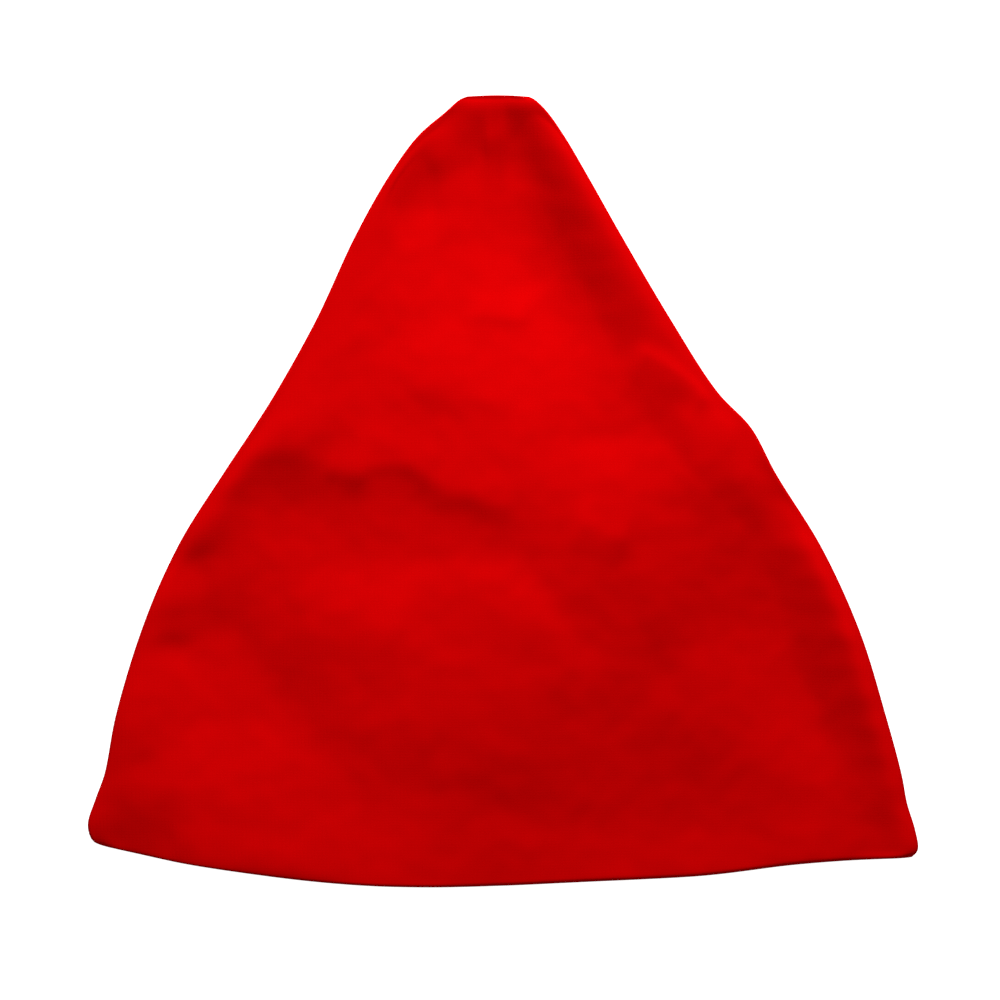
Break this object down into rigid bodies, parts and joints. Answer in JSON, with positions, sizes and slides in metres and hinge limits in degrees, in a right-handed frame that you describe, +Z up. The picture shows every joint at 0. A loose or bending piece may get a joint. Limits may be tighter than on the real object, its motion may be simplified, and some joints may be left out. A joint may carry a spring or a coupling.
{
  "type": "pointed cap",
  "caption": "Soft pointed jersey cap lying flat, sewn along its sides and blunt tip, with a folded mouth edge and an open hollow that takes the head.",
  "frame": {"origin": "middle of the cap's plan, on the surface that it lies on", "axes": "+X across the cap along its mouth, +Y from the mouth to the tip, +Z up from the surface"},
  "size_m": [0.2605, 0.2474, 0.0193],
  "materials": {
    "red_jersey": "matte knitted cotton jersey with fine upright ribs of stitches"
  },
  "bodies": {
    "root": {"front_panel": "red_jersey", "back_panel": "red_jersey"}
  },
  "joints": []
}
